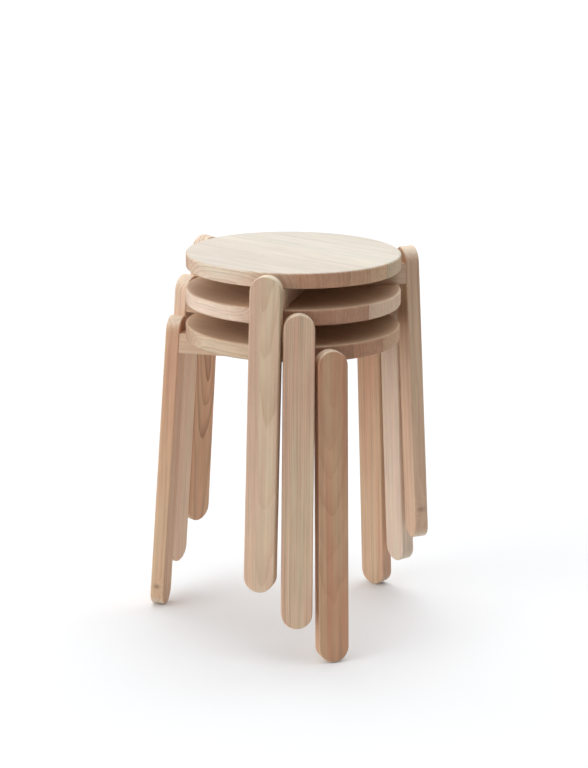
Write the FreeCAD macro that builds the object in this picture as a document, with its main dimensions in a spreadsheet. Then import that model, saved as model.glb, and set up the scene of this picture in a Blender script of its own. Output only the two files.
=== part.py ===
import FreeCAD, Part
import os

import Sketcher

# A stack of three round stools in solid wood, all lengths in millimetres and angles in degrees.
# The origin is on the axis of the seats at floor level, +Z is up, and -Y faces the viewer.
# Each stool has a round seat on three rails, which meet under its middle and run out past the
# rim. A splayed leg with full-round ends is dowelled to the end of each rail. A stool rests
# with its rails on the seat below, turned so that its legs stand beside those of that stool.

# Name, value and meaning of each driving dimension.
SIZES = (
    ("seat_height", 450, "floor to the top face of a single stool"),
    ("seat_diameter", 312, "across the round seat"),
    ("seat_thickness", 22.5, "the glued board of the seat"),
    ("seat_rounding", 3, "radius along both edges of the seat"),
    ("rim_gap", 8, "between the rim and the inner faces of the legs, at the top"),
    ("leg_width", 44, "across the flat face of a leg"),
    ("leg_thickness", 21, "through a leg"),
    ("leg_rounding", 2, "radius along every edge of a leg"),
    ("leg_splay", 3.5, "lean of a leg, in degrees"),
    ("rail_height", 30, "from the seat down to the underside of a rail"),
    ("rail_inset", 1, "from the side of a leg to the side of its rail"),
    ("rail_rounding", 1.5, "radius along the lower edges of a rail"),
    ("dowel_diameter", 8, "wooden dowels between leg and rail"),
    ("dowel_length", 38, "overall length of a dowel"),
    ("dowel_in_leg", 15, "length of a dowel that sits in the leg"),
    ("dowel_spacing", 22, "between the two dowels of a joint"),
    ("dowel_chamfer", 1, "on both ends of a dowel"),
    ("glue_gap", 0.05, "radial room around a dowel or a screw in wood"),
    ("glue_room", 0.8, "past the blind end of a dowel or a screw"),
    ("screw_length", 35, "seat screw, under its head"),
    ("screw_diameter", 4.5, "plain shank of a seat screw"),
    ("screw_core", 3.2, "threaded end of a seat screw, at its core"),
    ("screw_tip", 3, "length of the point of a seat screw"),
    ("screw_head_diameter", 9, "pan head of a seat screw"),
    ("screw_head_height", 3, "pan head of a seat screw"),
    ("screw_key", 3, "across the flats of the key recess in the head"),
    ("screw_key_depth", 1.8, "depth of the key recess in the head"),
    ("shank_room", 0.25, "radial room around the plain shank in a rail"),
    ("head_room", 1, "radial room around the head in a rail"),
    ("counterbore_depth", 10, "from the underside of a rail to the seat of the head"),
    ("inner_screw_radius", 55, "seat axis to the inner screw of a rail"),
    ("outer_screw_radius", 125, "seat axis to the outer screw of a rail"),
    ("leg_gap", 0.4, "between the legs of two stacked stools, where they are closest"),
    ("base_turn", 17.7, "turn of the bottom stool about its axis, in degrees"),
)

# The stools from the floor up, and the legs of each stool anticlockwise from the nearest.
STOOLS = ("bottom", "middle", "top")
LEGS = ("front", "right", "left")

# Places and sizes that follow from the driving dimensions.
LEG_RADIUS = "(Sizes.seat_diameter / 2 + Sizes.rim_gap)"
SEAT_BOTTOM = "(Sizes.seat_height - Sizes.seat_thickness)"
RAIL_BOTTOM = f"({SEAT_BOTTOM} - Sizes.rail_height)"
STACK_STEP = "(Sizes.seat_thickness + Sizes.rail_height)"
RAIL_HALF_WIDTH = "(Sizes.leg_width / 2 - Sizes.rail_inset)"
LEAN_SINE = "sin(Sizes.leg_splay)"
LEAN_COSINE = "cos(Sizes.leg_splay)"
LEAN_TANGENT = "tan(Sizes.leg_splay)"
RAIL_TOP_REACH = f"({LEG_RADIUS} + Sizes.seat_thickness * {LEAN_TANGENT})"
RAIL_LOW_REACH = f"({LEG_RADIUS} + {STACK_STEP} * {LEAN_TANGENT})"
DOWEL_DROP = f"((Sizes.seat_thickness + Sizes.rail_height / 2) / {LEAN_COSINE})"
HEAD_SEAT = f"({RAIL_BOTTOM} + Sizes.counterbore_depth)"
SCREW_END = f"({HEAD_SEAT} + Sizes.screw_length)"
SCREW_RADII = ("Sizes.inner_screw_radius", "Sizes.outer_screw_radius")
DOWEL_IN_RAIL = "(Sizes.dowel_length - Sizes.dowel_in_leg)"

# The legs of a stool stand beside those of the stool below. They are closest where a lower leg
# reaches its full width: there the rounded inner edge of the upper leg, a little further out,
# faces the flat side of the lower one. The edge is placed by the axis of its rounding.
EDGE_RADIUS = (f"({LEG_RADIUS} + (Sizes.leg_width / 2 + {STACK_STEP}) * {LEAN_TANGENT} + "
               f"Sizes.leg_rounding)")
EDGE_OFFSET = "(Sizes.leg_width / 2 - Sizes.leg_rounding)"
EDGE_CLEAR = "(Sizes.leg_width / 2 + Sizes.leg_gap + Sizes.leg_rounding)"
STACK_TURN = (f"(atan({EDGE_OFFSET} / {EDGE_RADIUS}) + "
              f"asin({EDGE_CLEAR} / hypot({EDGE_RADIUS}; {EDGE_OFFSET})))")

# The rounded end of a leg touches the floor with its inner edge and is level with the seat
# with its outer edge, so both ends are set back along the leg by the rounding and the lean.
LEG_TOP = (f"(Sizes.leg_rounding - (Sizes.leg_rounding + "
           f"(Sizes.leg_thickness - Sizes.leg_rounding) * {LEAN_SINE}) / {LEAN_COSINE})")
LEG_FOOT = (f"(-(Sizes.seat_height + Sizes.leg_rounding * "
            f"({LEAN_SINE} + {LEAN_COSINE} - 1)) / {LEAN_COSINE})")

# How far the cut that mitres the rails runs past the sides of a rail.
MITRE_OVERRUN = 5

# Sides of the key recess in a screw head.
KEY_SIDES = 6

doc = FreeCAD.newDocument("StackingStools")
sheet = doc.addObject("Spreadsheet::Sheet", "Sizes")
for row, (alias, value, meaning) in enumerate(SIZES, start=1):
    sheet.set(f"A{row}", meaning)
    sheet.set(f"B{row}", str(value))
    sheet.setAlias(f"B{row}", alias)
doc.recompute()


def number(expression):
    """The value of an expression of the sheet, as a plain number."""
    value = sheet.evalExpression(expression)
    return float(getattr(value, "Value", value))


def add_body(name, level, leg=0):
    """A piece of the stool at this level of the stack, turned so that +X points at a leg."""
    body = doc.addObject("PartDesign::Body", name)
    body.Label = name
    body.setExpression("Placement.Base.z", f"{level} * {STACK_STEP}")
    turn = f"(270 + Sizes.base_turn + {360 * leg / len(LEGS)}) * 1 deg - {level} * {STACK_TURN}"
    body.setExpression("Placement.Rotation.Angle", turn)
    return body


def origin_feature(body, role):
    """One of the body's own planes or axes."""
    return next(feature for feature in body.Origin.OriginFeatures if feature.Role == role)


def add_sketch(body, name, role, height=None):
    """A sketch on a plane of the body, or this far along the normal of that plane."""
    sketch = body.newObject("Sketcher::SketchObject", name)
    sketch.AttachmentSupport = [(origin_feature(body, role), "")]
    sketch.MapMode = "FlatFace"
    if height:
        sketch.setExpression("AttachmentOffset.Base.z", height)
    return sketch


def add_joint_sketch(body, name):
    """A sketch on the inner face of the leg: x across it, y up along it from the seat's top."""
    sketch = add_sketch(body, name, "YZ_Plane", LEG_RADIUS)
    sketch.AttachmentOffset = FreeCAD.Placement(FreeCAD.Vector(),
                                                FreeCAD.Rotation(FreeCAD.Vector(-1, 0, 0), 1))
    sketch.setExpression("AttachmentOffset.Base.y", "Sizes.seat_height")
    sketch.setExpression("AttachmentOffset.Rotation.Angle", "Sizes.leg_splay * 1 deg")
    return sketch


def bind(sketch, constraint, expression):
    """Add a constraint and bind its value to the sheet."""
    index = sketch.addConstraint(constraint)
    sketch.setExpression(f"Constraints[{index}]", expression)


def place(sketch, geometry, point, x, y):
    """Hold a point of the sketch at x and y from its origin."""
    for kind, own_axis, distance in (("DistanceX", -2, x), ("DistanceY", -1, y)):
        if distance == "0":
            sketch.addConstraint(Sketcher.Constraint("PointOnObject", geometry, point, own_axis))
        else:
            value = number(distance)
            bind(sketch, Sketcher.Constraint(kind, -1, 1, geometry, point, value), distance)


def draw_outline(sketch, corners):
    """A closed outline of straight lines through the given corners."""
    points = [FreeCAD.Vector(number(x), number(y), 0) for x, y in corners]
    first = sketch.GeometryCount
    for start, end in zip(points, points[1:] + points[:1]):
        sketch.addGeometry(Part.LineSegment(start, end))
    for index, (x, y) in enumerate(corners):
        following = first + (index + 1) % len(corners)
        sketch.addConstraint(Sketcher.Constraint("Coincident", first + index, 2, following, 1))
        place(sketch, first + index, 1, x, y)


def draw_circle(sketch, x, y, radius):
    """A full circle."""
    centre = FreeCAD.Vector(number(x), number(y), 0)
    circle = sketch.addGeometry(Part.Circle(centre, FreeCAD.Vector(0, 0, 1), number(radius)))
    bind(sketch, Sketcher.Constraint("Radius", circle, number(radius)), radius)
    place(sketch, circle, 3, x, y)


def draw_slot(sketch, low, high, radius):
    """A long upright outline with a half circle at each end, from low to high."""
    reach = number(radius)
    top = FreeCAD.Vector(0, number(high) - reach, 0)
    foot = FreeCAD.Vector(0, number(low) + reach, 0)
    side = FreeCAD.Vector(reach, 0, 0)
    up = FreeCAD.Vector(0, reach, 0)
    upper = sketch.addGeometry(Part.Arc(top + side, top + up, top - side))
    left = sketch.addGeometry(Part.LineSegment(top - side, foot - side))
    lower = sketch.addGeometry(Part.Arc(foot - side, foot - up, foot + side))
    right = sketch.addGeometry(Part.LineSegment(foot + side, top + side))
    for before, after in ((upper, left), (left, lower), (lower, right), (right, upper)):
        sketch.addConstraint(Sketcher.Constraint("Tangent", before, 2, after, 1))
    sketch.addConstraint(Sketcher.Constraint("Equal", upper, lower))
    bind(sketch, Sketcher.Constraint("Radius", upper, reach), radius)
    place(sketch, upper, 3, "0", f"{high} - {radius}")
    place(sketch, lower, 3, "0", f"{low} + {radius}")


def draw_dowels(sketch, radius):
    """Two circles side by side on the inner face of a leg, at half the height of the rail."""
    for side in ("-", ""):
        draw_circle(sketch, f"{side}Sizes.dowel_spacing / 2", f"-{DOWEL_DROP}", radius)


def draw_screws(sketch, radius):
    """Two circles along a rail, one around each screw."""
    for place_along in SCREW_RADII:
        draw_circle(sketch, place_along, "0", radius)


def add_feature(body, kind, name, sketch, **settings):
    """A feature of the body made from a sketch, its lengths bound to the sheet."""
    feature = body.newObject(f"PartDesign::{kind}", name)
    feature.Profile = sketch
    for key, value in settings.items():
        if key in ("Length", "Length2"):
            feature.setExpression(key, value)
        else:
            setattr(feature, key, value)
    return feature


def repeat_around(body, features):
    """Repeat features around the axis of the seat, once for each leg."""
    pattern = body.newObject("PartDesign::PolarPattern", "AroundSeat")
    pattern.Originals = features
    pattern.Axis = (origin_feature(body, "Z_Axis"), [""])
    pattern.Angle = 360
    pattern.Occurrences = len(LEGS)
    body.Tip = pattern
    return pattern


def round_faces(body, pad, radius):
    """Round every edge of the two faces that close a pad."""
    doc.recompute()
    names = [f"Face{index}" for index, face in enumerate(pad.Shape.Faces, start=1)
             if isinstance(face.Surface, Part.Plane)
             and abs(face.normalAt(0, 0).dot(pad.Direction)) > 0.99]
    fillet = body.newObject("PartDesign::Fillet", "Rounding")
    fillet.Base = (pad, names)
    fillet.setExpression("Radius", radius)


def round_low_edges(body, pad, radius):
    """Round the two long edges along the underside of a rail."""
    doc.recompute()
    low = pad.Shape.BoundBox.ZMin
    names = [f"Edge{index}" for index, edge in enumerate(pad.Shape.Edges, start=1)
             if abs(edge.CenterOfMass.z - low) < 0.01 and edge.BoundBox.YLength < 0.01]
    fillet = body.newObject("PartDesign::Fillet", "Rounding")
    fillet.Base = (pad, names)
    fillet.setExpression("Radius", radius)


def add_seat(stool, level):
    """The round board, with blind pilot holes in its underside for the screws."""
    body = add_body(f"{stool}_seat", level)
    plan = add_sketch(body, "Plan", "XY_Plane", SEAT_BOTTOM)
    draw_circle(plan, "0", "0", "Sizes.seat_diameter / 2")
    board = add_feature(body, "Pad", "Board", plan, Length="Sizes.seat_thickness")
    round_faces(body, board, "Sizes.seat_rounding")
    pilots = add_sketch(body, "Pilots", "XY_Plane", SEAT_BOTTOM)
    draw_screws(pilots, "Sizes.screw_core / 2 + Sizes.glue_gap")
    holes = add_feature(body, "Pocket", "PilotHoles", pilots, Reversed=True,
                        Length=f"{SCREW_END} + Sizes.glue_room - {SEAT_BOTTOM}")
    repeat_around(body, [holes])


def add_rail(stool, level, leg):
    """A rail with a pointed inner end, a leaning outer end, screw holes and dowel holes."""
    body = add_body(f"{stool}_rail_{LEGS[leg]}", level, leg)
    side = add_sketch(body, "Side", "XZ_Plane")
    draw_outline(side, (("0", SEAT_BOTTOM), (RAIL_TOP_REACH, SEAT_BOTTOM),
                        (RAIL_LOW_REACH, RAIL_BOTTOM), ("0", RAIL_BOTTOM)))
    bar = add_feature(body, "Pad", "Bar", side, SideType="Symmetric",
                      Length=f"2 * {RAIL_HALF_WIDTH}")
    round_low_edges(body, bar, "Sizes.rail_rounding")

    mitre = add_sketch(body, "MitreOutline", "XY_Plane")
    beside = f"({RAIL_HALF_WIDTH} + {MITRE_OVERRUN})"
    along = f"{beside} / tan({180 / len(LEGS)})"
    behind = f"-{MITRE_OVERRUN}"
    draw_outline(mitre, (("0", "0"), (along, beside), (behind, beside),
                         (behind, f"-{beside}"), (along, f"-{beside}")))
    add_feature(body, "Pocket", "Mitre", mitre, Type="ThroughAll", Reversed=True)

    heads = add_sketch(body, "HeadOutline", "XY_Plane", RAIL_BOTTOM)
    draw_screws(heads, "Sizes.screw_head_diameter / 2 + Sizes.head_room")
    add_feature(body, "Pocket", "Counterbores", heads, Reversed=True,
                Length="Sizes.counterbore_depth")
    shanks = add_sketch(body, "ShankOutline", "XY_Plane", RAIL_BOTTOM)
    draw_screws(shanks, "Sizes.screw_diameter / 2 + Sizes.shank_room")
    add_feature(body, "Pocket", "ShankHoles", shanks, Type="ThroughAll", Reversed=True)

    dowels = add_joint_sketch(body, "DowelOutline")
    draw_dowels(dowels, "Sizes.dowel_diameter / 2 + Sizes.glue_gap")
    add_feature(body, "Pocket", "DowelHoles", dowels, Length=f"{DOWEL_IN_RAIL} + Sizes.glue_room")


def add_leg(stool, level, leg):
    """A flat board with full-round ends, rounded edges and two blind dowel holes."""
    body = add_body(f"{stool}_leg_{LEGS[leg]}", level, leg)
    face = add_joint_sketch(body, "InnerFace")
    draw_slot(face, LEG_FOOT, LEG_TOP, "Sizes.leg_width / 2")
    board = add_feature(body, "Pad", "Board", face, Length="Sizes.leg_thickness")
    round_faces(body, board, "Sizes.leg_rounding")
    dowels = add_joint_sketch(body, "DowelOutline")
    draw_dowels(dowels, "Sizes.dowel_diameter / 2 + Sizes.glue_gap")
    add_feature(body, "Pocket", "DowelHoles", dowels, Reversed=True,
                Length="Sizes.dowel_in_leg + Sizes.glue_room")


def add_dowels(stool, level):
    """The chamfered dowels of all joints, each partly in a leg and partly in its rail."""
    body = add_body(f"{stool}_leg_dowels", level)
    body.AllowCompound = True
    section = add_joint_sketch(body, "Section")
    draw_dowels(section, "Sizes.dowel_diameter / 2")
    rods = add_feature(body, "Pad", "Rods", section, SideType="Two sides",
                       Length="Sizes.dowel_in_leg", Length2=DOWEL_IN_RAIL)
    pattern = repeat_around(body, [rods])
    doc.recompute()
    names = [f"Edge{index}" for index, edge in enumerate(pattern.Shape.Edges, start=1)
             if isinstance(edge.Curve, Part.Circle)]
    chamfer = body.newObject("PartDesign::Chamfer", "Ends")
    chamfer.Base = (pattern, names)
    chamfer.setExpression("Size", "Sizes.dowel_chamfer")


def add_screws(stool, level):
    """The pan-head screws that pull the rails up against the seat, two in each rail."""
    body = add_body(f"{stool}_seat_screws", level)
    body.AllowCompound = True
    head = "Sizes.screw_head_diameter / 2"
    shank = "Sizes.screw_diameter / 2"
    core = "Sizes.screw_core / 2"
    head_face = f"({HEAD_SEAT} - Sizes.screw_head_height)"
    key_corner = f"(Sizes.screw_key / 2 / cos({180 / KEY_SIDES}))"
    recess = add_sketch(body, "Recess", "XY_Plane", head_face)
    turned = []
    for name, radius in zip(("Inner", "Outer"), SCREW_RADII):
        section = add_sketch(body, f"{name}Section", "XZ_Plane")
        section.setExpression("AttachmentOffset.Base.x", radius)
        draw_outline(section, (("0", head_face), (head, head_face), (head, HEAD_SEAT),
                               (shank, HEAD_SEAT), (shank, SEAT_BOTTOM), (core, SEAT_BOTTOM),
                               (core, f"{SCREW_END} - Sizes.screw_tip"), ("0", SCREW_END)))
        turned.append(add_feature(body, "Revolution", f"{name}Screw", section,
                                  ReferenceAxis=(section, ["V_Axis"]), Angle=360))
        draw_outline(recess, [(f"{radius} + {key_corner} * cos({360 * side / KEY_SIDES})",
                               f"{key_corner} * sin({360 * side / KEY_SIDES})")
                              for side in range(KEY_SIDES)])
    keys = add_feature(body, "Pocket", "KeyRecesses", recess, Reversed=True,
                       Length="Sizes.screw_key_depth")
    repeat_around(body, turned + [keys])


for level, stool in enumerate(STOOLS):
    add_seat(stool, level)
    for leg in range(len(LEGS)):
        add_rail(stool, level, leg)
        add_leg(stool, level, leg)
    add_dowels(stool, level)
    add_screws(stool, level)
doc.recompute()

for thing in doc.Objects:
    if "Invalid" in thing.State or "Error" in thing.State:
        raise RuntimeError(f"{thing.Label} did not build: {thing.State}")

pieces = [thing for thing in doc.Objects if thing.TypeId == "PartDesign::Body"]
for piece in pieces:
    if piece.Shape.isNull() or not piece.Shape.isValid():
        raise RuntimeError(f"{piece.Label} has no valid shape")

os.makedirs("parts", exist_ok=True)
for piece in pieces:
    piece.Shape.exportStep(f"parts/{piece.Label}.step")
    print(f"{piece.Label}: {len(piece.Shape.Solids)} solid, {piece.Shape.Volume / 1000:.1f} cm3")
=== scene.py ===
import math

import bpy
from mathutils import Matrix, Vector


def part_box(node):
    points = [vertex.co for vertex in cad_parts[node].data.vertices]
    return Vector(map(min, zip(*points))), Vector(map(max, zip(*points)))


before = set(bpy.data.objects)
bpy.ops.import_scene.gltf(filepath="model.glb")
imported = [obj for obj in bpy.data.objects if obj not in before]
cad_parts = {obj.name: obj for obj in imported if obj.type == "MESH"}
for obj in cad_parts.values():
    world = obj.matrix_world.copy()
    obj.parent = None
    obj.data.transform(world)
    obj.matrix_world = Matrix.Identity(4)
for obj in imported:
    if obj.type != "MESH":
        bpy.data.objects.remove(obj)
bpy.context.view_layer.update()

# Lengths are in metres and angles in degrees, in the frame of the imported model. Inside the wood
# materials lengths are in centimetres, along the grain, across it and through the piece.
LEG_LEAN = 3.5
CENTIMETRE = 0.01


# Camera

CAMERA_AIM = Vector((0.002643, 0.0, 0.357063))
CAMERA_DISTANCE = 3.464996
CAMERA_HEIGHT_ANGLE = 14.4346
CAMERA_ROLL = 0.6641
CAMERA_LENS = 110.745
SENSOR_LONG_SIDE = 36.0


def add_camera():
    """Puts the camera where the photograph was taken from."""
    angle = math.radians(CAMERA_HEIGHT_ANGLE)
    roll = math.radians(CAMERA_ROLL)
    back = Vector((0.0, -math.cos(angle), math.sin(angle)))
    level_right = Vector((1.0, 0.0, 0.0))
    level_up = Vector((0.0, math.sin(angle), math.cos(angle)))
    right = math.cos(roll) * level_right + math.sin(roll) * level_up
    up = -math.sin(roll) * level_right + math.cos(roll) * level_up
    data = bpy.data.cameras.new("photo_camera")
    data.lens = CAMERA_LENS
    data.sensor_width = SENSOR_LONG_SIDE
    data.clip_start = 0.05
    data.clip_end = 60.0
    camera = bpy.data.objects.new("photo_camera", data)
    bpy.context.scene.collection.objects.link(camera)
    turn = Matrix((right, up, back)).transposed()
    camera.matrix_world = Matrix.Translation(CAMERA_AIM + back * CAMERA_DISTANCE) @ turn.to_4x4()
    bpy.context.scene.camera = camera


# Tools for materials

def colour(red, green, blue):
    """Turns a colour written as 0 to 255 into the linear numbers that a shader takes."""
    result = []
    for part in (red, green, blue):
        share = part / 255.0
        if share <= 0.04045:
            result.append(share / 12.92)
        else:
            result.append(((share + 0.055) / 1.055) ** 2.4)
    return (*result, 1.0)


class Graph:
    """Adds nodes to one node tree and links them."""

    def __init__(self, tree):
        self.tree = tree
        self.tree.nodes.clear()

    def give(self, socket, value):
        """Links a socket to another, or sets its value."""
        if isinstance(value, bpy.types.NodeSocket):
            self.tree.links.new(value, socket)
        else:
            socket.default_value = value

    def node(self, kind, inputs=None, **settings):
        """Adds one node with its settings and inputs."""
        made = self.tree.nodes.new(kind)
        for key, value in settings.items():
            setattr(made, key, value)
        for key, value in (inputs or {}).items():
            self.give(made.inputs[key], value)
        return made

    def maths(self, operation, *values, clamp=False):
        """Works out one number from others."""
        made = self.node("ShaderNodeMath", operation=operation, use_clamp=clamp)
        for socket, value in zip(made.inputs, values):
            self.give(socket, value)
        return made.outputs[0]

    def vector(self, operation, *values):
        """Works out one vector from others."""
        made = self.node("ShaderNodeVectorMath", operation=operation)
        for socket, value in zip(made.inputs, values):
            self.give(socket, value)
        return made.outputs[0]

    def dot(self, first, second):
        """How far two directions agree."""
        made = self.node("ShaderNodeVectorMath", operation="DOT_PRODUCT")
        self.give(made.inputs[0], first)
        self.give(made.inputs[1], second)
        return made.outputs["Value"]

    def blend(self, factor, first, second, mode="MIX"):
        """Blends two colours."""
        made = self.node("ShaderNodeMix", data_type="RGBA", blend_type=mode)
        self.give(made.inputs[0], factor)
        self.give(made.inputs[6], first)
        self.give(made.inputs[7], second)
        return made.outputs[2]

    def ramp(self, value, stops, interpolation="LINEAR"):
        """Turns a number into grey or a colour by a row of stops."""
        made = self.node("ShaderNodeValToRGB", {"Fac": value})
        row = made.color_ramp
        row.interpolation = interpolation
        while len(row.elements) < len(stops):
            row.elements.new(1.0)
        for element, (place, shade) in zip(row.elements, stops):
            element.position = place
            element.color = shade if isinstance(shade, tuple) else (shade, shade, shade, 1.0)
        return made.outputs[0]

    def noise(self, place, lengths, seed, detail=2.0, roughness=0.5):
        """Smooth noise whose lumps are as long along each axis as the lengths given."""
        scaled = self.vector("MULTIPLY", place, tuple(1.0 / length for length in lengths))
        inputs = {"Vector": scaled, "W": seed, "Scale": 1.0, "Detail": detail, "Roughness": roughness}
        return self.node("ShaderNodeTexNoise", inputs, noise_dimensions="4D")

    def swing(self, noise, amount):
        """A noise's value as a swing round zero of about this amount."""
        centred = self.maths("SUBTRACT", noise.outputs["Fac"], 0.5)
        return self.maths("MULTIPLY", centred, amount * 2.0)


def new_material(name):
    """An empty material and its graph."""
    material = bpy.data.materials.new(name)
    material.use_nodes = True
    return material, Graph(material.node_tree)


# Wood

WOOD_ROUGHNESS = 0.6
WOOD_BUMP = 0.35
WOOD_BUMP_HEIGHT = 0.00012
GLUE_HALF_WIDTH = 0.022
GLUE_SHADE = -0.12
STRIP_SEED_STEP = 3.71
STRIP_PITH_STEP = 5.3
RING_BEND = 1.6
RING_UNEVENNESS = 0.9
KNOT_REACH = -0.16
KNOT_CORE = -1.3
KNOT_PUSH = 2.6
KNOT_SHADE = -0.45
KNOT_COLOUR = colour(120, 78, 52)
PATCHES = 0.13
PORE_SHADE = -0.10

# What a piece looks like where nothing else is said of it
PLAIN_WOOD = {
    "light": colour(226, 196, 166),
    "late": (0.74, 0.6, 0.52, 1.0),
    "pink": colour(212, 168, 144),
    # The pale end tone is painted light, standing in for the lit top ends of the legs
    "end": colour(242, 226, 204),
    "end_share": 0.8,
    # The face tone is painted light on a seat's top: a sheen on the top seat, the shade between seats on the
    # lower two
    "face": colour(224, 216, 202),
    "face_share": 0.0,
    # The under tone is painted shade on a seat's underside
    "under": colour(168, 120, 88),
    "under_share": 0.0,
    "figure": 0.6,
    "ring": 0.32,
    "pith": (1.0, -5.0),
    "pith_lean": (0.01, 0.02),
    "wave": 1.0,
    "streaks": 0.2,
    "fibres": 0.1,
    "joints": (),
    "strips": (),
    "knots": (),
    "seed": 1.0,
}


def add_wood(name, origin, turn, **looks):
    """Growth rings, streaks, fibres and pores as one solid pattern right through a piece."""
    wood = {**PLAIN_WOOD, **looks}
    material, graph = new_material(name)
    whereabouts = graph.node("ShaderNodeTexCoord").outputs
    inputs = {
        "Vector": whereabouts["Object"],
        "Location": origin,
        "Rotation": turn.to_euler(),
        "Scale": (CENTIMETRE, CENTIMETRE, CENTIMETRE),
    }
    place = graph.node("ShaderNodeMapping", inputs, vector_type="TEXTURE").outputs[0]
    split = graph.node("ShaderNodeSeparateXYZ", {"Vector": place}).outputs
    along, across, deep = split[0], split[1], split[2]

    # Glued strips, each with rings of its own
    strip = 0.0
    glue = 0.0
    for joint in wood["joints"]:
        strip = graph.maths("ADD", strip, graph.maths("GREATER_THAN", across, joint))
        near = graph.maths("COMPARE", across, joint, GLUE_HALF_WIDTH)
        glue = graph.maths("MAXIMUM", glue, near)
    life = graph.maths("MULTIPLY_ADD", strip, STRIP_SEED_STEP, wood["seed"])

    # Growth rings round a pith that lies off the piece and leans a little away from its length
    bend = graph.noise(place, (26.0, 6.0, 6.0), life, detail=3.0, roughness=0.45)
    bend = graph.vector("SUBTRACT", bend.outputs["Color"], (0.5, 0.5, 0.5))
    bend = graph.vector("MULTIPLY", bend, (wood["wave"] * RING_BEND,) * 3)
    bend = graph.node("ShaderNodeSeparateXYZ", {"Vector": bend}).outputs
    pith_across, pith_deep = wood["pith"]
    lean_across, lean_deep = wood["pith_lean"]
    shift = graph.maths("MULTIPLY_ADD", strip, STRIP_PITH_STEP, -pith_across)
    side = graph.maths("MULTIPLY_ADD", along, -lean_across, graph.maths("ADD", across, shift))
    side = graph.maths("ADD", side, bend[1])
    depth = graph.maths("MULTIPLY_ADD", along, -lean_deep, graph.maths("SUBTRACT", deep, pith_deep))
    depth = graph.maths("ADD", depth, bend[2])
    squares = graph.maths("ADD", graph.maths("MULTIPLY", side, side), graph.maths("MULTIPLY", depth, depth))
    radius = graph.maths("SQRT", squares)
    rings = graph.maths("DIVIDE", radius, wood["ring"])
    inputs = {"W": graph.maths("MULTIPLY_ADD", rings, 0.31, life), "Scale": 1.0, "Detail": 1.0}
    uneven = graph.node("ShaderNodeTexNoise", inputs, noise_dimensions="1D")
    rings = graph.maths("ADD", rings, graph.swing(uneven, RING_UNEVENNESS))

    # Knots push the rings apart and darken the wood
    knot_shade = 0.0
    for knot_along, knot_across, knot_deep, size in wood["knots"]:
        offset = graph.vector("SUBTRACT", place, (knot_along, knot_across, knot_deep))
        offset = graph.vector("MULTIPLY", offset, (0.55 / size, 1.0 / size, 0.45 / size))
        far = graph.dot(offset, offset)
        around = graph.maths("EXPONENT", graph.maths("MULTIPLY", far, KNOT_REACH))
        rings = graph.maths("MULTIPLY_ADD", around, KNOT_PUSH, rings)
        core = graph.maths("EXPONENT", graph.maths("MULTIPLY", far, KNOT_CORE))
        knot_shade = graph.maths("MAXIMUM", knot_shade, core)
    year = graph.maths("FRACT", rings)
    late = graph.ramp(year, ((0.0, 0.0), (0.45, 0.14), (0.82, 0.75), (0.93, 1.0), (1.0, 0.0)))
    strength = graph.node(
        "ShaderNodeTexWhiteNoise", {"W": graph.maths("ADD", graph.maths("FLOOR", rings), life)},
        noise_dimensions="1D",
    ).outputs["Value"]
    late = graph.maths("MULTIPLY", late, graph.maths("MULTIPLY_ADD", strength, 0.7, 0.3))

    # Streaks, fibres and pores
    broad = graph.noise(place, (24.0, 1.4, 1.4), graph.maths("ADD", life, 11.0), detail=2.0)
    streak = graph.noise(place, (30.0, 0.45, 0.45), graph.maths("ADD", life, 23.0), detail=2.5)
    fibre = graph.noise(place, (5.0, 0.07, 0.07), graph.maths("ADD", life, 37.0), detail=2.0)
    pore = graph.noise(place, (0.9, 0.028, 0.028), graph.maths("ADD", life, 51.0), detail=0.0)
    pore = graph.ramp(pore.outputs["Fac"], ((0.0, 0.0), (0.66, 0.0), (0.76, 1.0)))
    patch = graph.noise(place, (7.0, 2.2, 2.2), graph.maths("ADD", life, 67.0), detail=2.0)

    pinkness = graph.ramp(broad.outputs["Fac"], ((0.0, 0.0), (0.36, 0.0), (0.64, 0.85), (1.0, 1.0)))
    tone = graph.blend(pinkness, wood["light"], wood["pink"])

    # Cut ends take a tone of their own, and so does each glued strip. On the seats the end tone is the darker
    # end grain; the pale end tone of the legs and rails is painted light, for the lit top ends of the legs.
    ends = graph.maths("ABSOLUTE", graph.dot(whereabouts["Normal"], tuple(turn.col[0])))
    ends = graph.ramp(ends, ((0.0, 0.0), (0.3, 0.1), (0.7, 1.0), (1.0, 1.0)))
    tone = graph.blend(graph.maths("MULTIPLY", ends, wood["end_share"]), tone, wood["end"])
    if wood["strips"]:
        count = len(wood["strips"])
        stops = [(index / count, shade) for index, shade in enumerate(wood["strips"])]
        where = graph.maths("DIVIDE", graph.maths("ADD", strip, 0.5), float(count))
        tone = graph.blend(1.0, tone, graph.ramp(where, stops, "CONSTANT"), "MULTIPLY")

    # Painted light on a seat's top: the top seat's top is painted paler as a sheen, and the lower seats' tops
    # are painted redder and darker as the shade between the seats
    outward = graph.dot(whereabouts["Normal"], tuple(turn.col[2]))
    top = graph.ramp(outward, ((0.0, 0.0), (0.5, 0.0), (0.95, 1.0), (1.0, 1.0)))
    painted_sheen_and_shade = graph.maths("MULTIPLY", top, wood["face_share"])
    tone = graph.blend(painted_sheen_and_shade, tone, wood["face"])
    # Painted shade on a seat's underside: faces that look down are painted darker
    downward = graph.maths("MULTIPLY", outward, -1.0)
    under = graph.ramp(downward, ((0.0, 0.0), (0.5, 0.0), (0.95, 1.0), (1.0, 1.0)))
    tone = graph.blend(graph.maths("MULTIPLY", under, wood["under_share"]), tone, wood["under"])

    # The late wood of each year is darker and redder, and fainter under the painted top tone
    figure = graph.maths("MULTIPLY", late, graph.maths("MULTIPLY_ADD", painted_sheen_and_shade, -0.6, 1.0))
    figure = graph.maths("MULTIPLY", figure, wood["figure"])
    tone = graph.blend(figure, tone, graph.blend(1.0, tone, wood["late"], "MULTIPLY"))

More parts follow.
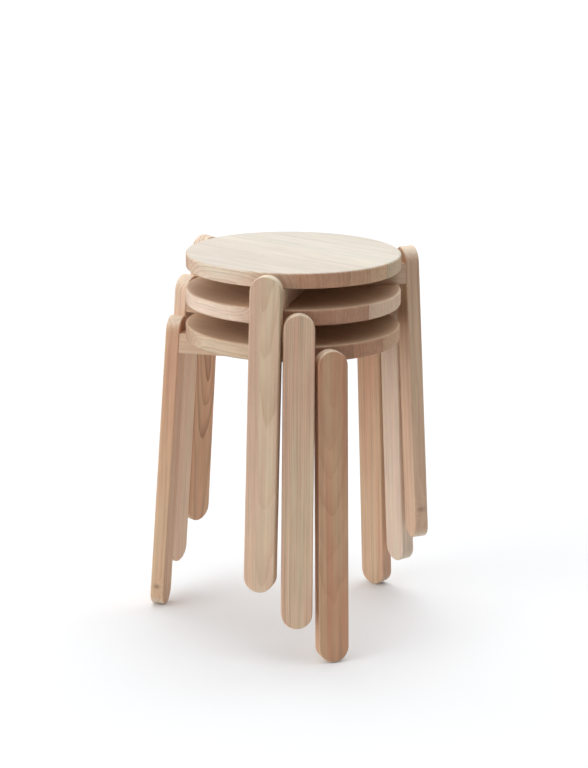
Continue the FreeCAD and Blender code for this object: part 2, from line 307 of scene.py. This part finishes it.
    # Light and dark along the grain
    level = graph.maths("ADD", graph.swing(streak, wood["streaks"]), graph.swing(fibre, wood["fibres"]))
    level = graph.maths("ADD", level, graph.swing(patch, PATCHES))
    level = graph.maths("ADD", level, graph.maths("MULTIPLY", pore, PORE_SHADE))
    level = graph.maths("ADD", level, graph.maths("MULTIPLY", glue, GLUE_SHADE))
    level = graph.maths("MULTIPLY_ADD", knot_shade, KNOT_SHADE, graph.maths("ADD", level, 1.0))
    shade = graph.node("ShaderNodeCombineColor", {"Red": level, "Green": level, "Blue": level}).outputs[0]
    tone = graph.blend(1.0, tone, shade, "MULTIPLY")
    tone = graph.blend(graph.maths("MULTIPLY", knot_shade, 0.6), tone, KNOT_COLOUR)

    rough = graph.maths("ADD", graph.swing(fibre, 0.06), graph.maths("MULTIPLY", late, -0.05))
    rough = graph.maths("ADD", rough, graph.maths("MULTIPLY_ADD", ends, 0.12, WOOD_ROUGHNESS))
    height = graph.maths("ADD", fibre.outputs["Fac"], graph.maths("MULTIPLY", late, 0.5))
    height = graph.maths("ADD", height, graph.maths("MULTIPLY", pore, -0.8))
    bump = graph.node(
        "ShaderNodeBump", {"Height": height, "Strength": WOOD_BUMP, "Distance": WOOD_BUMP_HEIGHT}
    )
    shader = graph.node("ShaderNodeBsdfPrincipled", {"Base Color": tone, "Roughness": rough})
    graph.give(shader.inputs["Normal"], bump.outputs[0])
    graph.node("ShaderNodeOutputMaterial", {"Surface": shader.outputs[0]})
    return material


def dress(node, material):
    """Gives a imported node's surface a material."""
    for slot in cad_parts[node].material_slots:
        slot.material = material


def middle(node):
    """The middle of a node's box."""
    low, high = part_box(node)
    return (Vector(low) + Vector(high)) / 2.0


def out_from_axis(node):
    """The level direction from the stool's axis to a node."""
    place = middle(node)
    return Vector((place.x, place.y, 0.0)).normalized()


def add_leg_wood(node, **looks):
    """Grain up the leg. The second axis is across the outer face, the third out of it."""
    outward = out_from_axis(node)
    lean = math.radians(LEG_LEAN)
    up = Vector((0.0, 0.0, math.cos(lean))) - outward * math.sin(lean)
    out = outward * math.cos(lean) + Vector((0.0, 0.0, math.sin(lean)))
    turn = Matrix((up, out.cross(up), out)).transposed()
    dress(node, add_wood(f"{node}_wood", middle(node), turn, **looks))


def add_rail_wood(node, **looks):
    """Grain along the rail."""
    outward = out_from_axis(node)
    up = Vector((0.0, 0.0, 1.0))
    turn = Matrix((outward, up.cross(outward), up)).transposed()
    dress(node, add_wood(f"{node}_wood", middle(node), turn, **looks))


def add_seat_wood(node, grain_angle, **looks):
    """Grain level, at an angle from the frame's first axis."""
    angle = math.radians(grain_angle)
    along = Vector((math.cos(angle), math.sin(angle), 0.0))
    up = Vector((0.0, 0.0, 1.0))
    turn = Matrix((along, up.cross(along), up)).transposed()
    dress(node, add_wood(f"{node}_wood", middle(node), turn, **looks))


# Where the grain of each seat runs, and how its glued staves differ
# The face tones are painted light: paler as a sheen on the top seat, redder and darker as the shade between
# the seats on the middle and bottom seats. The under tones are painted shade on the undersides.
add_seat_wood(
    "top_seat", -41.3, seed=3.0, light=colour(235, 219, 196), pink=colour(235, 205, 183),
    end=colour(186, 137, 105), end_share=0.8, face=colour(218, 210, 198), face_share=0.9, under_share=0.8,
    pith=(-16.0, -1.0), pith_lean=(0.004, 0.01), ring=0.5, figure=0.8,
    joints=(-11.4, -4.85, -1.3, 2.6, 8.2, 13.1),
    strips=((0.98, 0.98, 0.97, 1.0), (1.04, 0.99, 0.95, 1.0), (1.19, 1.22, 1.15, 1.0),
            (1.32, 1.46, 1.38, 1.0), (1.2, 1.52, 1.55, 1.0), (1.1, 1.3, 1.3, 1.0), (0.97, 0.96, 0.94, 1.0)),
)
add_seat_wood(
    "middle_seat", -52.0, seed=8.0, light=colour(240, 218, 196), pink=colour(237, 207, 187),
    end=colour(178, 125, 94), end_share=0.8, face=colour(218, 186, 156), face_share=1.0, under_share=0.8,
    pith=(-15.0, 1.5), pith_lean=(-0.006, 0.008), ring=0.46, figure=0.7,
    joints=(-10.2, -4.6, 1.5, 8.5),
    strips=((1.0, 1.02, 1.02, 1.0), (0.96, 0.92, 0.88, 1.0), (1.05, 1.04, 1.02, 1.0),
            (1.6, 2.1, 2.3, 1.0), (1.45, 1.85, 2.0, 1.0)),
)
add_seat_wood(
    "bottom_seat", -38.0, seed=13.0, light=colour(222, 200, 172), pink=colour(217, 189, 164),
    end=colour(178, 128, 99), end_share=0.8, face=colour(215, 182, 151), face_share=1.0, under_share=0.8,
    pith=(-15.5, -1.5), pith_lean=(0.005, -0.009), ring=0.48, figure=0.7,
    joints=(-10.9, -4.9, 1.04, 7.8),
    # The second stave is darker partly as painted shade, beside the bottom front leg
    strips=((0.95, 0.95, 0.92, 1.0), (0.9, 0.86, 0.82, 1.0), (1.08, 1.04, 1.0, 1.0),
            (1.26, 1.4, 1.36, 1.0), (1.2, 1.3, 1.25, 1.0)),
)

# The legs, named by the stool and the side that faces the camera
add_leg_wood(
    "top_leg_front", seed=21.0, light=colour(221, 199, 168), pink=colour(219, 181, 156),
    joints=(0.44,), strips=((0.98, 1.0, 0.98, 1.0), (1.0, 0.97, 0.97, 1.0)),
    pith=(-0.4, -3.6), pith_lean=(0.0, 0.045), ring=0.4,
)
add_leg_wood(
    "middle_leg_front", seed=24.0, light=colour(221, 198, 166), pink=colour(213, 170, 145),
    pith=(9.0, -1.0), pith_lean=(0.006, 0.0), ring=0.3, streaks=0.34, figure=0.8,
)
add_leg_wood(
    "bottom_leg_front", seed=27.0, light=colour(205, 167, 132), pink=colour(199, 143, 112),
    pith=(0.6, -4.5), pith_lean=(0.0, 0.05), ring=0.34, figure=0.4, streaks=0.28,
)
# The left and right legs are paler partly as painted light, making up for light that the lamps don't bring to
# their inner and side faces
add_leg_wood(
    "top_leg_right", seed=31.0, light=colour(232, 201, 170), pink=colour(223, 184, 157),
    pith=(-7.0, 3.0), ring=0.33, knots=((-17.6, 2.0, 0.1, 0.26),),
)
add_leg_wood(
    "middle_leg_right", seed=34.0, light=colour(239, 220, 198), pink=colour(235, 210, 191),
    pith=(6.0, 4.0), ring=0.36,
)
add_leg_wood(
    "bottom_leg_right", seed=37.0, light=colour(222, 193, 160), pink=colour(219, 171, 143),
    pith=(-6.0, -5.0), ring=0.34, streaks=0.34,
)
add_leg_wood(
    "top_leg_left", seed=41.0, light=colour(238, 200, 165), pink=colour(231, 185, 150),
    pith=(0.0, -2.6), pith_lean=(0.0, 0.06), ring=0.55, figure=1.0, wave=1.5,
    late=(0.5, 0.36, 0.32, 1.0),
)
add_leg_wood(
    "middle_leg_left", seed=44.0, light=colour(246, 219, 190), pink=colour(240, 203, 178),
    pith=(5.0, 6.0), ring=0.3,
)
add_leg_wood(
    "bottom_leg_left", seed=47.0, light=colour(223, 190, 155), pink=colour(216, 166, 134),
    pith=(-5.0, 5.0), ring=0.38, knots=((-19.2, -2.1, 0.1, 0.2),),
)

RAIL_SEED = 61.0
for number, stool in enumerate(("bottom", "middle", "top")):
    for place, side in enumerate(("front", "right", "left")):
        add_rail_wood(
            f"{stool}_rail_{side}", seed=RAIL_SEED + 3.0 * number + 11.0 * place,
            light=colour(226, 198, 168), pink=colour(220, 186, 158),
            pith=(4.0 - 3.0 * place, -4.0 - number), ring=0.3 + 0.03 * place,
        )


def add_dowel_wood(name):
    """Close, hard wood whose grain runs out from the stool's axis, along every dowel."""
    material, graph = new_material(name)
    whereabouts = graph.node("ShaderNodeTexCoord").outputs["Object"]
    split = graph.node("ShaderNodeSeparateXYZ", {"Vector": whereabouts}).outputs
    flat = graph.node("ShaderNodeCombineXYZ", {"X": split[0], "Y": split[1]}).outputs[0]
    reach = graph.node("ShaderNodeVectorMath", {0: flat}, operation="LENGTH").outputs["Value"]
    angle = graph.maths("ARCTAN2", split[1], split[0])
    round_the_axis = graph.maths("MULTIPLY", angle, 0.17)
    joined = graph.node("ShaderNodeCombineXYZ", {"X": reach, "Y": round_the_axis, "Z": split[2]}).outputs[0]
    place = graph.vector("DIVIDE", joined, (CENTIMETRE, CENTIMETRE, CENTIMETRE))
    streak = graph.noise(place, (6.0, 0.25, 0.25), 5.0, detail=2.0)
    fleck = graph.noise(place, (0.5, 0.04, 0.04), 9.0, detail=1.0)
    fleck = graph.ramp(fleck.outputs["Fac"], ((0.0, 0.0), (0.6, 0.0), (0.72, 1.0)))
    tone = graph.blend(streak.outputs["Fac"], colour(206, 168, 130), colour(228, 196, 160))
    tone = graph.blend(graph.maths("MULTIPLY", fleck, 0.4), tone, colour(160, 116, 80))
    bump = graph.node(
        "ShaderNodeBump", {"Height": streak.outputs["Fac"], "Strength": 0.3, "Distance": 0.0001}
    )
    shader = graph.node("ShaderNodeBsdfPrincipled", {"Base Color": tone, "Roughness": 0.55})
    graph.give(shader.inputs["Normal"], bump.outputs[0])
    graph.node("ShaderNodeOutputMaterial", {"Surface": shader.outputs[0]})
    return material


def add_steel(name):
    """Zinc-plated steel with a fine, uneven sheen."""
    material, graph = new_material(name)
    whereabouts = graph.node("ShaderNodeTexCoord").outputs["Object"]
    place = graph.vector("DIVIDE", whereabouts, (CENTIMETRE, CENTIMETRE, CENTIMETRE))
    cloud = graph.noise(place, (0.3, 0.3, 0.3), 2.0, detail=3.0)
    grit = graph.noise(place, (0.02, 0.02, 0.02), 4.0, detail=1.0)
    tone = graph.blend(cloud.outputs["Fac"], colour(188, 190, 192), colour(216, 216, 214))
    rough = graph.maths("ADD", graph.swing(cloud, 0.1), 0.34)
    bump = graph.node(
        "ShaderNodeBump", {"Height": grit.outputs["Fac"], "Strength": 0.2, "Distance": 0.00005}
    )
    shader = graph.node(
        "ShaderNodeBsdfPrincipled", {"Base Color": tone, "Roughness": rough, "Metallic": 1.0}
    )
    graph.give(shader.inputs["Normal"], bump.outputs[0])
    graph.node("ShaderNodeOutputMaterial", {"Surface": shader.outputs[0]})
    return material


dowel_wood = add_dowel_wood("dowel_hardwood")
screw_steel = add_steel("screw_zinc")
for stool in ("bottom", "middle", "top"):
    dress(f"{stool}_leg_dowels", dowel_wood)
    dress(f"{stool}_seat_screws", screw_steel)


# Floor, backdrop and light

FLOOR_HALF_WIDTH = 15.0
FLOOR_SHADE = 0.92
FLOOR_LIFT = 0.02
BOUNCE_SHADE = 0.77
PAPER_RADIUS = 1.4
PAPER_FADE = 0.7
FAR_FLOOR_SHADE = 0.2
FLOOR_TINT = (0.98, 1.0, 1.02, 1.0)
CEILING_LEVEL = 0.6
CEILING_START = 0.45
CEILING_FULL = 0.85
WINDOW_LEVEL = 2.8
WINDOW_SIDE = -60.0
WINDOW_HEIGHT = 12.0
WINDOW_EDGE = 0.72
BACKDROP_LEVEL = 1.0
BACKDROP_START = 0.1
BACKDROP_FULL = 0.5
OVERHEAD_SIDE = 70.0
OVERHEAD_HEIGHT = 87.0
OVERHEAD_SPREAD = 50.0
OVERHEAD_LEVEL = 0.3


def seen_directly(graph):
    """1 for what the camera sees, straight or in a mirror or through glass, and 0 otherwise."""
    path = graph.node("ShaderNodeLightPath").outputs
    seen = graph.maths("ADD", path["Is Camera Ray"], path["Is Glossy Ray"])
    return graph.maths("ADD", seen, path["Is Transmission Ray"], clamp=True)


def add_floor():
    """A plain white floor that keeps the object's shadow, and sends back less light than it shows."""
    half = FLOOR_HALF_WIDTH
    mesh = bpy.data.meshes.new("floor")
    corners = [(-half, -half, 0), (half, -half, 0), (half, half, 0), (-half, half, 0)]
    mesh.from_pydata(corners, [], [(0, 1, 2, 3)])
    floor = bpy.data.objects.new("floor", mesh)
    bpy.context.scene.collection.objects.link(floor)
    material, graph = new_material("floor_white")
    seen = seen_directly(graph)
    place = graph.node("ShaderNodeTexCoord").outputs["Object"]
    reach = graph.node("ShaderNodeVectorMath", {0: place}, operation="LENGTH").outputs["Value"]
    paper = graph.node(
        "ShaderNodeMapRange",
        {"Value": reach, "From Min": PAPER_RADIUS, "From Max": PAPER_RADIUS + PAPER_FADE,
         "To Min": BOUNCE_SHADE, "To Max": FAR_FLOOR_SHADE},
    ).outputs[0]
    shade = graph.maths("MAXIMUM", paper, graph.maths("MULTIPLY", seen, FLOOR_SHADE))
    tone = graph.node("ShaderNodeCombineColor", {"Red": shade, "Green": shade, "Blue": shade}).outputs[0]
    tone = graph.blend(1.0, tone, FLOOR_TINT, "MULTIPLY")
    matt = graph.node("ShaderNodeBsdfDiffuse", {"Color": tone})
    lift = graph.node("ShaderNodeEmission", {"Strength": graph.maths("MULTIPLY", seen, FLOOR_LIFT)})
    both = graph.node("ShaderNodeAddShader", {0: matt.outputs[0], 1: lift.outputs[0]})
    graph.node("ShaderNodeOutputMaterial", {"Surface": both.outputs[0]})
    mesh.materials.append(material)


def towards(side, height):
    """A direction, by its angle from the camera's side and its height above the floor."""
    around = math.radians(side)
    above = math.radians(height)
    level = math.cos(above)
    return Vector((math.sin(around) * level, -math.cos(around) * level, math.sin(above)))


def add_sky():
    """A white studio: light from the ceiling, a wide window on the left, and a pale backdrop."""
    world = bpy.data.worlds.new("studio")
    world.use_nodes = True
    graph = Graph(world.node_tree)
    gaze = graph.node("ShaderNodeTexCoord").outputs["Generated"]
    split = graph.node("ShaderNodeSeparateXYZ", {"Vector": gaze}).outputs
    inputs = {"Value": split[2], "From Min": CEILING_START, "From Max": CEILING_FULL, "To Max": CEILING_LEVEL}
    ceiling = graph.node("ShaderNodeMapRange", inputs, interpolation_type="SMOOTHSTEP").outputs[0]
    facing = graph.dot(gaze, towards(WINDOW_SIDE, WINDOW_HEIGHT))
    inputs = {"Value": facing, "From Min": WINDOW_EDGE, "To Max": WINDOW_LEVEL}
    window = graph.node("ShaderNodeMapRange", inputs).outputs[0]
    inputs = {"Value": split[1], "From Min": BACKDROP_START, "From Max": BACKDROP_FULL}
    inputs["To Max"] = BACKDROP_LEVEL
    backdrop = graph.node("ShaderNodeMapRange", inputs).outputs[0]
    level = graph.maths("ADD", graph.maths("ADD", ceiling, window), backdrop)
    seen = seen_directly(graph)
    unseen = graph.maths("SUBTRACT", 1.0, seen)
    strength = graph.maths("MULTIPLY_ADD", level, unseen, seen)
    sky = graph.node("ShaderNodeBackground", {"Color": (1.0, 1.0, 1.0, 1.0), "Strength": strength})
    graph.node("ShaderNodeOutputWorld", {"Surface": sky.outputs[0]})
    bpy.context.scene.world = world


def add_soft_light(name, side, height, spread, level):
    """A wide, far lamp. Side is its angle from the camera's side, height that above the floor."""
    data = bpy.data.lights.new(name, "SUN")
    data.angle = math.radians(spread)
    data.energy = level * math.pi
    lamp = bpy.data.objects.new(name, data)
    lamp.rotation_euler = towards(side, height).to_track_quat("Z", "Y").to_euler()
    lamp.location = towards(side, height) * 2.0
    bpy.context.scene.collection.objects.link(lamp)


add_camera()
add_floor()
add_sky()
add_soft_light("overhead_light", OVERHEAD_SIDE, OVERHEAD_HEIGHT, OVERHEAD_SPREAD, OVERHEAD_LEVEL)
bpy.context.scene.view_settings.view_transform = "Standard"
